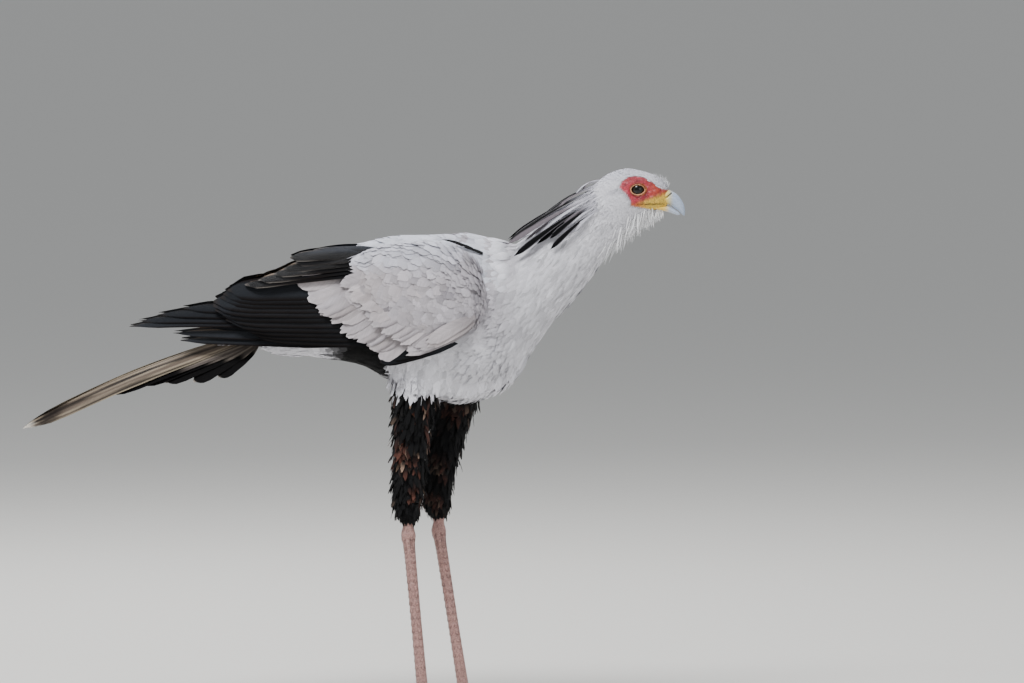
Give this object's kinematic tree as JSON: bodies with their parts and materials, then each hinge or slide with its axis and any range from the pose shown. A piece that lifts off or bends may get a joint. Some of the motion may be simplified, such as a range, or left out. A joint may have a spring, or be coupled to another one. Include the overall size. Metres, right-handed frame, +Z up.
{
  "type": "secretary bird",
  "caption": "Life-size standing secretary bird, leaning forward, crest laid back, wings folded, long middle tail feathers hanging behind. Still model.",
  "frame": {"origin": "on the floor, under the middle of the bird's length and width", "axes": "+X the way the bird faces, +Y its left side, +Z up"},
  "size_m": [1.1932, 0.2578, 0.9869],
  "materials": {
    "plumage": "soft matt feathers, white to pale grey",
    "wing_coverts": "matt grey covert feathers over black flight feathers",
    "tail_feathers": "grey feathers with a black band and a pale tip",
    "thigh_feathers": "loose black feathers",
    "leg_skin": "scaled skin, satin",
    "bill_horn": "smooth horn, satin",
    "claw_horn": "smooth horn, satin",
    "eyeball": "wet gloss"
  },
  "bodies": {
    "root": {"torso": "plumage", "neck": "plumage", "head": "plumage", "bill_upper": "bill_horn", "bill_lower": "bill_horn", "tail": "tail_feathers", "wing_left": "wing_coverts", "eye_left": "eyeball", "thigh_left": "thigh_feathers", "tarsus_left": "leg_skin", "foot_left": "leg_skin", "claw_inner_left": "claw_horn", "claw_middle_left": "claw_horn", "claw_outer_left": "claw_horn", "claw_hind_left": "claw_horn", "wing_right": "wing_coverts", "eye_right": "eyeball", "thigh_right": "thigh_feathers", "tarsus_right": "leg_skin", "foot_right": "leg_skin", "claw_inner_right": "claw_horn", "claw_middle_right": "claw_horn", "claw_outer_right": "claw_horn", "claw_hind_right": "claw_horn"}
  },
  "joints": []
}
